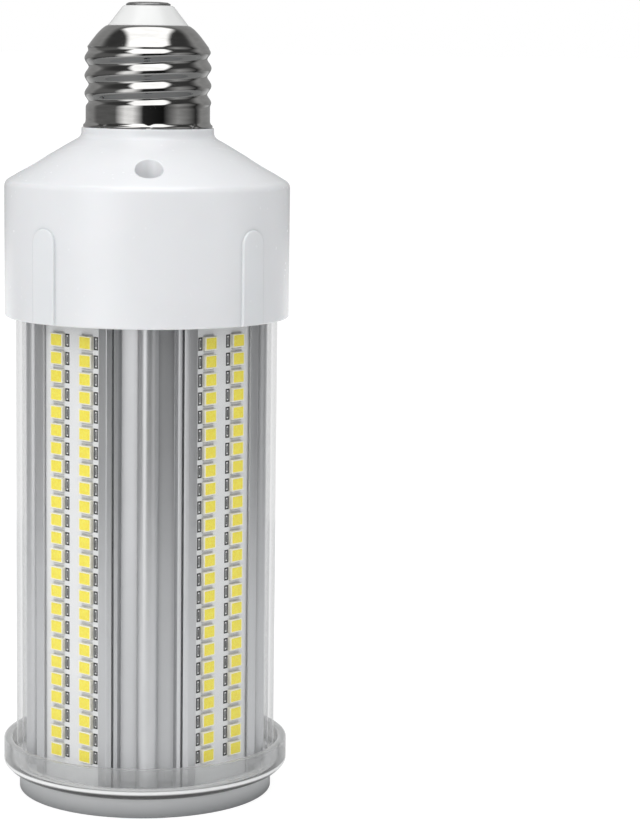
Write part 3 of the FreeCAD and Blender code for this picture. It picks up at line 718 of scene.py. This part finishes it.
sink = {
    "foot": 4.8, "top": 112.0, "seat": 20.5, "wall": 1.8, "corner": 23.0, "innerCorner": 19.6,
    "panelDepth": 1.3, "panelRise": 1.2, "panelHalf": 5.4, "panelSlope": 0.7, "ridgeFall": 0.35,
    "groove": 7.1, "grooveHalf": 0.25, "grooveDepth": 0.5, "grooveFall": 0.2, "lip": 0.6, "lipCover": 0.4,
    "finLength": 6.0, "finThick": 1.2, "finSpacing": 5.6, "boardHalf": 8.4, "boardThick": 1.0,
    "clearance": 0.15, "bossCircle": 23.2, "boss": 2.15, "bossArc": 36, "pilot": 1.25, "pilotArc": 20,
}


def sinkOutlines():
    # The section's outer line, inner line and pilot holes; the lines' points are x, y and rounding.
    s = sink
    root = math.sqrt(0.5)

    def seatPoint(across, along):
        return ((across + along) * root, (across - along) * root)

    slot = s["boardHalf"] + s["clearance"]
    lipUnder = s["seat"] + s["boardThick"] + s["clearance"]
    lipOver = lipUnder + s["lip"]
    lipTip = s["boardHalf"] - s["lipCover"]
    faceEnd = lipOver / root - s["corner"]
    panel = s["corner"] - s["panelDepth"]
    grooveFace = s["corner"] - s["grooveFall"]
    # where the sloping panel runs into the round boss
    slant = Vector((s["panelRise"], s["boss"] / 2 - s["panelHalf"]))
    offset = Vector((panel - s["bossCircle"], s["panelHalf"]))
    square, cross = slant.dot(slant), slant.dot(offset)
    share = (-cross - math.sqrt(cross ** 2 - square * (offset.dot(offset) - s["boss"] ** 2))) / square
    meet = offset + slant * share
    half = [
        (*seatPoint(s["seat"], 0), 0), (*seatPoint(s["seat"], slot), 0.1),
        (*seatPoint(lipUnder, slot), 0.1), (*seatPoint(lipUnder, lipTip), 0.1),
        (*seatPoint(lipOver, lipTip), 0.15), (s["corner"], faceEnd, 0.3),
        (grooveFace, s["groove"] + s["grooveHalf"], 0.1),
        (grooveFace - s["grooveDepth"], s["groove"], 0.08),
        (grooveFace, s["groove"] - s["grooveHalf"], 0.1),
        (s["corner"] - s["ridgeFall"], s["panelHalf"] + s["panelSlope"], 0.22),
        (panel, s["panelHalf"], 0.2), (s["bossCircle"] + meet.x, meet.y, 0.15),
    ]
    sweep = math.atan2(meet.y, meet.x)
    turns = [sweep - 2 * sweep * i / s["bossArc"] for i in range(1, s["bossArc"])]
    arc = [(s["bossCircle"] + s["boss"] * math.cos(a), s["boss"] * math.sin(a), 0) for a in turns]
    quarter = half + arc + [(x, -y, r) for x, y, r in half[:0:-1]]
    flat = s["seat"] - s["wall"]
    finTip = flat - s["finLength"]
    finLow = (s["finSpacing"] - s["finThick"]) / 2
    finHigh = finLow + s["finThick"]
    inner = [
        (*seatPoint(flat, 0), 0), (*seatPoint(flat, finLow), 0.2), (*seatPoint(finTip, finLow), 0.3),
        (*seatPoint(finTip, finHigh), 0.3), (*seatPoint(flat, finHigh), 0.2),
        (s["innerCorner"], flat / root - s["innerCorner"], 0.6),
    ]
    innerQuarter = inner + [(x, -y, r) for x, y, r in inner[:0:-1]]

    def around(quarterPoints):
        out = []
        for c, n in ((1, 0), (0, -1), (-1, 0), (0, 1)):
            out += [(x * c - y * n, x * n + y * c, r) for x, y, r in quarterPoints]
        return roundCorners(out, steps=4)

    holes = []
    turns = [2 * math.pi * i / s["pilotArc"] for i in range(s["pilotArc"])]
    for number in range(4):
        a = number * math.pi / 2
        x, y = s["bossCircle"] * math.cos(a), s["bossCircle"] * math.sin(a)
        holes.append([(x + s["pilot"] * math.cos(t), y + s["pilot"] * math.sin(t)) for t in turns])
    return around(quarter), around(innerQuarter), holes


def buildSink():
    # The filled section at the foot and at the top, with walls between.
    outer, inner, holes = sinkOutlines()
    bm = bmesh.new()
    for loop in [outer, inner] + holes:
        verts = [bm.verts.new((x * mm, y * mm, sink["foot"] * mm)) for x, y in loop]
        for i in range(len(verts)):
            bm.edges.new((verts[i - 1], verts[i]))
    bmesh.ops.remove_doubles(bm, verts=bm.verts, dist=1e-7)
    bmesh.ops.triangle_fill(bm, edges=list(bm.edges), use_beauty=True)
    feet = list(bm.faces)
    rims = [tuple(edge.verts) for edge in bm.edges if edge.is_boundary]
    tops = {vert: bm.verts.new((vert.co.x, vert.co.y, sink["top"] * mm)) for vert in list(bm.verts)}
    for foot in feet:
        bm.faces.new([tops[vert] for vert in foot.verts])
    for a, b in rims:
        bm.faces.new((a, b, tops[b], tops[a]))
    return smoothPiece(bm, bpy.data.meshes.new("heatSink"), 40)


settle(buildSink(), "extrudedAluminium", "sink_aluminium", "heat_sink")
print("heat sink ready")

# Diodes, their terminals and the printed marks beside them

leds = {
    "Rows": 24, "Pitch": 3.746, "First": 11.0, "Column Spacing": 8.3, "Face": 21.5,
    "width": 3.5, "height": 2.8, "thick": 0.9, "foot": 0.05, "frame": 0.2, "bevel": 0.1, "round": 0.16,
    "windowDrop": 0.12, "markGap": 0.12, "markWidth": 1.15, "markHeight": 2.7,
    "markLine": 0.3, "markThick": 0.04, "markInset": (0.45, 0.6),
    "terminal": 0.34, "terminalIn": 0.25, "terminalRise": (0.01, 0.16),
    # how far the window's rows lie inside the frame and under its face
    "window": [(0.02, 0.4), (0.02, 0.06), (0.3, 0.02)],
}
# material, number of strips, first turn and step of each thing on the strips
ledThings = {
    "ledFrames": ("ledFramePlastic", 4, 45.0, 90.0), "ledWindows": ("phosphorGel", 4, 45.0, 90.0),
    "ledTerminals": ("tinnedCopper", 4, 45.0, 90.0), "ledMarksA": ("silkscreenInk", 2, 45.0, 180.0),
    "ledMarksB": ("silkscreenInk", 2, 135.0, 180.0),
}


def box(verts, faces, x, y, z):
    # A block between pairs of values, with its faces outwards.
    start = len(verts)
    verts += [(a, b, c) for a in x for b in y for c in z]
    for face in ((0, 1, 3, 2), (4, 6, 7, 5), (0, 4, 5, 1), (2, 3, 7, 6), (0, 2, 6, 4), (1, 5, 7, 3)):
        faces.append(tuple(start + i for i in face))


def ledUnits():
    # One of each thing, about the middle of a diode's foot.
    w, h, t = leds["width"] / 2, leds["height"] / 2, leds["thick"]
    edge, bevel, corner = leds["frame"], leds["bevel"], leds["round"]

    def rounded(rows):
        # Rounded rectangles on each other: how far each lies in, its height and its rounding.
        verts, faces, loops = [], [], []
        for inset, x, r in rows:
            half, tall = w - inset, h - inset
            corners = [(-half, -tall, r), (half, -tall, r), (half, tall, r), (-half, tall, r)]
            loops.append([addPoint(verts, (x, y, z)) for y, z in roundCorners(corners, steps=2)])
        stack(faces, loops)
        return verts, faces

    units = {
        "ledFrames": rounded([(0, leds["foot"], bevel), (0, t - bevel, bevel), (bevel, t, bevel),
                              (edge, t, corner), (edge + bevel, t - leds["windowDrop"], corner)]),
        "ledWindows": rounded([(edge + inset, t - depth, corner) for inset, depth in leds["window"]]),
    }
    verts, faces = [], []
    wide = w - leds["terminalIn"]
    for sign in (-1, 1):
        z = sorted((sign * (h - leds["foot"]), sign * (h + leds["terminal"])))
        box(verts, faces, leds["terminalRise"], (-wide, wide), z)
    units["ledTerminals"] = (verts, faces)

    near, line, tall = w + leds["markGap"], leds["markLine"], leds["markHeight"] / 2
    far = near + leds["markWidth"]
    inY, inZ = leds["markInset"]
    lines = [
        ((near, near + line), (-tall, tall)),
        ((far - line, far), (-tall, tall)),
        ((near + line, far - line), (tall - line, tall)),
        ((near + line, far - line), (-tall, line - tall)),
        ((near + inY, far - inY), (inZ - tall, tall - inZ)),
    ]
    for name, side in (("ledMarksA", 1), ("ledMarksB", -1)):
        verts, faces = [], []
        for y, z in lines:
            box(verts, faces, (0.0, leds["markThick"]), sorted(side * v for v in y), z)
        units[name] = (verts, faces)
    return units


class Growth(Nodes):
    # A Geometry Nodes tree with named inputs that multiplies one unit.

    def __init__(self, name, unit, wanted):
        self.name = name
        self.wanted = wanted
        self.tree = bpy.data.node_groups.new("grow_" + name, "GeometryNodeTree")
        super().__init__(self.tree)
        self.tree.is_modifier = True
        self.tree.interface.new_socket("Geometry", in_out="OUTPUT", socket_type="NodeSocketGeometry")
        for key, value in wanted.items():
            kind = "NodeSocketInt" if isinstance(value, int) else "NodeSocketFloat"
            self.tree.interface.new_socket(key, in_out="INPUT", socket_type=kind)
        self.given = self.nodes.new("NodeGroupInput").outputs
        self.unit = self.add("GeometryNodeObjectInfo", Object=unit).outputs["Geometry"]

    def vector(self, **parts):
        return self.add("ShaderNodeCombineXYZ", **parts).outputs["Vector"]

    def turned(self, **parts):
        return self.add("FunctionNodeEulerToRotation", Euler=self.vector(**parts)).outputs["Rotation"]

    def line(self, **inputs):
        return self.add("GeometryNodeMeshLine", {"mode": "OFFSET"}, **inputs).outputs["Mesh"]

    def instance(self, points, thing, **more):
        node = self.add("GeometryNodeInstanceOnPoints", Points=points, Instance=thing, **more)
        return node.outputs["Instances"]

    def realize(self, thing):
        return self.add("GeometryNodeRealizeInstances", Geometry=thing).outputs["Geometry"]

    def piece(self, thing, material):
        # The tree's result for the wanted values, as a plain mesh.
        whole = self.realize(thing)
        done = self.add("GeometryNodeSetMaterial", Geometry=whole, Material=materials[material])
        self.add("NodeGroupOutput", Geometry=done.outputs["Geometry"])
        holder = linkPiece("holder", bpy.data.meshes.new("holder"))
        modifier = holder.modifiers.new(self.name, "NODES")
        modifier.node_group = self.tree
        for item in self.tree.interface.items_tree:
            if item.in_out == "INPUT":
                modifier[item.identifier] = self.wanted[item.name]
        shown = holder.evaluated_get(bpy.context.evaluated_depsgraph_get())
        mesh = bpy.data.meshes.new_from_object(shown)
        mesh.name = self.name
        bpy.data.objects.remove(holder)
        return linkPiece(self.name, mesh)


def ledStrips(name, unit):
    # Rows and columns of one unit on a strip, and the strips set round the axis.
    material, strips, first, step = ledThings[name]
    wanted = {"Rows": leds["Rows"], "Strips": strips, "First Turn": math.radians(first),
              "Turn Step": math.radians(step)}
    for key in ("Pitch", "First", "Column Spacing", "Face"):
        wanted[key] = leds[key] * mm
    growth = Growth(name, unit, wanted)
    given = growth.given
    side = growth.maths("MULTIPLY", given["Column Spacing"], -0.5)
    rows = growth.line(Count=given["Rows"], Start_Location=growth.vector(Z=given["First"]),
                       Offset=growth.vector(Z=given["Pitch"]))
    columns = growth.line(Count=2, Start_Location=growth.vector(X=given["Face"], Y=side),
                          Offset=growth.vector(Y=given["Column Spacing"]))
    strip = growth.instance(growth.realize(growth.instance(columns, rows)), growth.unit)
    index = growth.add("GeometryNodeInputIndex").outputs["Index"]
    turn = growth.maths("ADD", given["First Turn"], growth.maths("MULTIPLY", index, given["Turn Step"]))
    middle = growth.line(Count=given["Strips"], Offset=(0, 0, 0))
    strips = growth.instance(middle, strip, Rotation=growth.turned(Z=turn))
    return growth.piece(strips, material)


def placeLeds():
    made = {}
    for name, (verts, faces) in ledUnits().items():
        unit = finishMesh("unit_" + name, verts, faces, 30)
        made[name] = ledStrips(name, unit)
        bpy.data.objects.remove(unit)
    for name, piece in made.items():
        settle(piece, ledThings[name][0], "led_package")
    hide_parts("leds_1", "leds_2", "leds_3", "leds_4")


placeLeds()
print("diodes ready")

# Screws with crossed recesses

screws = {
    "count": 4, "circle": 23.2, "housingSeat": 116.0, "capSeat": 2.4, "segments": 48,
    "head": 2.5, "tall": 1.9, "fall": 0.30, "shoulder": 2.1, "rim": 0.9, "underRim": 0.12,
    "cross": 0.42, "crossSlope": 0.14, "crossEnd": 1.5, "crossRise": 0.5, "deep": 0.9,
    "shank": 1.15, "long": 12.0, "tip": (0.7, 0.4), "turns": 23, "turnStep": 0.45, "turnDepth": 0.12,
    "plainShank": 0.6,
    "rings": (0.0, 0.15, 0.3, 0.45, 0.6, 0.8, 1.0, 1.2, 1.4, 1.6, 1.85, 2.1, 2.3, 2.42, 2.48, 2.5),
}


def screwPoints():
    # One pan-head screw along +Z, its head's underside at zero.
    s = screws
    verts, faces = [], []

    def crown(r):
        return s["tall"] * (1 - s["fall"] * (r / s["head"]) ** 2)

    def headHeight(r):
        if r < s["shoulder"]:
            return crown(r)
        out = (r - s["shoulder"]) / (s["head"] - s["shoulder"])
        return s["rim"] + (crown(s["shoulder"]) - s["rim"]) * math.sqrt(max(0.0, 1 - out ** 2))

    def recess(x, y):
        arm, wide = max(abs(x), abs(y)), min(abs(x), abs(y))
        edge = held((s["cross"] - wide) / s["crossSlope"])
        return s["deep"] * edge * held((s["crossEnd"] - arm) / s["crossRise"])

    rows = [addCircle(verts, r, headHeight(r), s["segments"]) for r in s["rings"]]
    verts[:] = [(x, y, z - recess(x, y)) for x, y, z in verts]
    shank = [(s["head"], s["underRim"]), (s["head"] - s["underRim"], 0.0), (s["shank"], 0.0)]
    shank += [(s["shank"] - s["turnDepth"] * (k % 2), -s["plainShank"] - s["turnStep"] * k)
              for k in range(s["turns"])]
    shank += [(s["tip"][0], s["tip"][1] - s["long"]), (0.0, -s["long"])]
    rows += [addCircle(verts, r, z, s["segments"]) for r, z in shank]
    joinRows(faces, rows)
    return verts, faces


def placeScrews(name, seat, flip, seed, node):
    # Screws on a ring of points, each turned by chance about its own axis.
    unit = finishMesh("unit_" + name, *screwPoints(), 35)
    wanted = {"Screws": screws["count"], "Circle": screws["circle"] * mm, "Seat": seat * mm, "Flip": flip,
              "Seed": seed}
    growth = Growth(name, unit, wanted)
    given = growth.given
    places = growth.add("GeometryNodeMeshCircle", Vertices=given["Screws"], Radius=given["Circle"])
    lifted = growth.add("GeometryNodeSetPosition", Geometry=places.outputs["Mesh"],
                        Offset=growth.vector(Z=given["Seat"])).outputs["Geometry"]
    # the fourth input is the most that the number can be, and the second output is the number
    spin = growth.add("FunctionNodeRandomValue", {"data_type": "FLOAT"}, _3=math.pi / 2,
                      Seed=given["Seed"]).outputs[1]
    placed = growth.instance(lifted, growth.unit, Rotation=growth.turned(X=given["Flip"], Z=spin))
    piece = growth.piece(placed, "zincPlatedSteel")
    bpy.data.objects.remove(unit)
    settle(piece, "zincPlatedSteel", "screw_steel", node)


placeScrews("housingScrews", screws["housingSeat"], 0.0, 3, "housing_screws")
placeScrews("endScrews", screws["capSeat"], math.pi, 5, "end_screws")
print("screws ready")

# Camera, floor and light

view = {"lens": 116.1, "sensor": 36.0, "turn": -0.7, "distance": 553.0, "height": 157.5, "pitch": 7.863,
        "yaw": 3.752, "roll": 0.22}
front = math.radians(-90.0 + view["turn"])


def turned(first, second, angle):
    # Two axes turned in their plane, the first towards the second.
    c, s = math.cos(angle), math.sin(angle)
    return first * c + second * s, second * c - first * s


def makeCamera():
    data = bpy.data.cameras.new("camera")
    data.lens = view["lens"]
    data.sensor_width = view["sensor"]
    data.sensor_fit = "AUTO"
    data.clip_start = 0.01
    camera = linkPiece("camera", data)
    reach = view["distance"] * mm
    camera.location = (reach * math.cos(front), reach * math.sin(front), view["height"] * mm)
    pitch, yaw, roll = (math.radians(view[key]) for key in ("pitch", "yaw", "roll"))
    level = math.cos(pitch)
    ahead = Vector((-math.cos(front) * level, -math.sin(front) * level, -math.sin(pitch)))
    right = ahead.cross(Vector((0, 0, 1))).normalized()
    up = right.cross(ahead)
    ahead, right = turned(ahead, right, yaw)
    right, up = turned(right, up, roll)
    camera.rotation_mode = "QUATERNION"
    camera.rotation_quaternion = Matrix((right, up, -ahead)).transposed().to_quaternion()
    scene.camera = camera


makeCamera()

studio = {"floorHalf": 40, "floorDrop": 0.00002, "floorGlow": 1.16, "floorWhite": 0.8,
          "skyTone": (0.97, 0.985, 1.0), "skyPower": 0.58, "lampsLookAt": 0.08}


def makeFloor():
    # Nearly white to the camera, and white paint that takes a shadow below that.
    half, level = studio["floorHalf"], -studio["floorDrop"]
    corners = [(x * half, y * half, level) for x, y in ((-1, -1), (1, -1), (1, 1), (-1, 1))]
    mesh = bpy.data.meshes.new("floor")
    mesh.from_pydata(corners, [], [(0, 1, 2, 3)])
    floor = linkPiece("floor", mesh)
    tree = Tree("floorPaint")
    cloud = tree.noise(tree.stretched(), 3.0)
    tree.set(Base_Color=tree.ramp(cloud, [(0.3, grey(0.86)), (0.7, grey(0.88))]), Roughness=0.7)
    path = tree.add("ShaderNodeLightPath").outputs
    seen = tree.maths("MAXIMUM", path["Is Camera Ray"], path["Is Transmission Ray"])
    share = tree.maths("MULTIPLY", seen, studio["floorWhite"])
    white = tree.add("ShaderNodeEmission", Color=opaque(grey(1)), Strength=studio["floorGlow"])
    tree.show(tree.add("ShaderNodeMixShader", _0=share, _1=tree.surface.outputs[0], _2=white.outputs[0]))
    coat(floor, "floorPaint")


makeFloor()


def makeWorld():
    # White where it is seen, itself or in gloss, and dimmer where it only lights.
    world = bpy.data.worlds.new("studio")
    scene.world = world
    world.use_nodes = True
    world.node_tree.nodes.clear()
    sky = Nodes(world.node_tree)
    path = sky.add("ShaderNodeLightPath").outputs
    seen = sky.maths("MAXIMUM", path["Is Glossy Ray"], path["Is Transmission Ray"])
    seen = sky.maths("MAXIMUM", path["Is Camera Ray"], seen)
    white = sky.add("ShaderNodeBackground", Color=opaque(grey(1)), Strength=1.0)
    lit = sky.add("ShaderNodeBackground", Color=opaque(studio["skyTone"]), Strength=studio["skyPower"])
    mix = sky.add("ShaderNodeMixShader", _0=seen, _1=lit.outputs[0], _2=white.outputs[0])
    sky.add("ShaderNodeOutputWorld", Surface=mix.outputs[0])


makeWorld()

# soft boxes: azimuth from the camera's side, elevation, distance, width, height and power
lamps = {
    "softBoxLeft": (-42, 24, 1.1, 0.55, 1.1, 3.2),
    "softBoxRight": (62, 18, 1.2, 0.5, 1.1, 0.5),
    "softBoxTop": (0, 80, 1.1, 1.2, 1.2, 7.0),
}


def makeLamp(name, turn, rise, distance, wide, tall, power):
    data = bpy.data.lights.new(name, "AREA")
    data.shape = "RECTANGLE"
    data.size, data.size_y = wide, tall
    data.energy = power
    lamp = linkPiece(name, data)
    a, e = math.radians(-90.0 + turn), math.radians(rise)
    back = Vector((math.cos(a) * math.cos(e), math.sin(a) * math.cos(e), math.sin(e)))
    lamp.location = Vector((0, 0, studio["lampsLookAt"])) + back * distance
    lamp.rotation_mode = "QUATERNION"
    lamp.rotation_quaternion = (-back).to_track_quat("-Z", "Y")
    lamp.visible_camera = False


for name, values in lamps.items():
    makeLamp(name, *values)

# a tent of light and dark cards that only metal and gloss see, by the angle from the camera's side
tent = {
    "radius": 0.32, "foot": 0.004, "middle": 0.12, "rings": 16, "segments": 96,
    "cards": [(-180, 1.10), (-140, 1.00), (-121, 0.17), (-62, 0.15), (-42, 1.40), (-28, 1.35), (-9, 0.03),
              (28, 0.01), (56, 0.44), (76, 0.28), (98, 0.03), (125, 0.55), (145, 1.00), (180, 1.10)],
    "upper": 0.06, "rise": (0.55, 0.80),
    "top": 2.0, "topHalf": 0.107, "topSoft": 0.036, "topRise": (0.55, 0.72), "topBack": (-0.12, -0.075),
    "back": 0.36, "backAway": (-0.08, -0.18), "backRise": (0.07, 0.11),
}


def makeTent():
    verts, faces, loops = [], [], []
    low = math.asin((tent["foot"] - tent["middle"]) / tent["radius"])
    for j in range(tent["rings"]):
        rise = low + (math.pi / 2 - low) * j / tent["rings"]
        radius, z = tent["radius"] * math.cos(rise), tent["middle"] + tent["radius"] * math.sin(rise)
        loops.append(addCircle(verts, radius, z, tent["segments"]))
    joinRows(faces, loops)
    faces.append(tuple(loops[-1]))
    mesh = bpy.data.meshes.new("tent")
    mesh.from_pydata(verts, [], faces)
    piece = linkPiece("tent", mesh)
    tree = Tree("tentCloth")
    place = tree.add("ShaderNodeSeparateXYZ", _0=tree.coords.outputs["Object"])
    x, y, z = (place.outputs[key] for key in "XYZ")
    maths = tree.maths

    def smooth(value, limits):
        return tree.share(value, *limits, "SMOOTHSTEP")

    across = maths("ADD", maths("MULTIPLY", x, -math.sin(front)), maths("MULTIPLY", y, math.cos(front)))
    ahead = maths("ADD", maths("MULTIPLY", x, math.cos(front)), maths("MULTIPLY", y, math.sin(front)))
    share = maths("ADD", maths("DIVIDE", maths("ARCTAN2", across, ahead), 2 * math.pi), 0.5)
    height = maths("DIVIDE", maths("SUBTRACT", z, tent["middle"]), tent["radius"])
    tone = tree.ramp(share, [(card / 360 + 0.5, grey(bright)) for card, bright in tent["cards"]])
    tone = tree.mix(smooth(height, tent["rise"]), tone, opaque(grey(tent["upper"])))
    behind = maths("MULTIPLY", smooth(ahead, tent["backAway"]), smooth(z, tent["backRise"]))
    tone = tree.mix(behind, tone, opaque(grey(tent["back"])))
    above = smooth(maths("ABSOLUTE", across), (tent["topHalf"] + tent["topSoft"], tent["topHalf"]))
    above = maths("MULTIPLY", above, smooth(height, tent["topRise"]))
    above = maths("MULTIPLY", above, smooth(ahead, tent["topBack"]))
    tree.show(tree.add("ShaderNodeEmission", Color=tree.mix(above, tone, opaque(grey(tent["top"])))))
    coat(piece, "tentCloth")
    for key in ("visible_camera", "visible_diffuse", "visible_shadow", "visible_transmission"):
        setattr(piece, key, False)


makeTent()
print("studio ready")
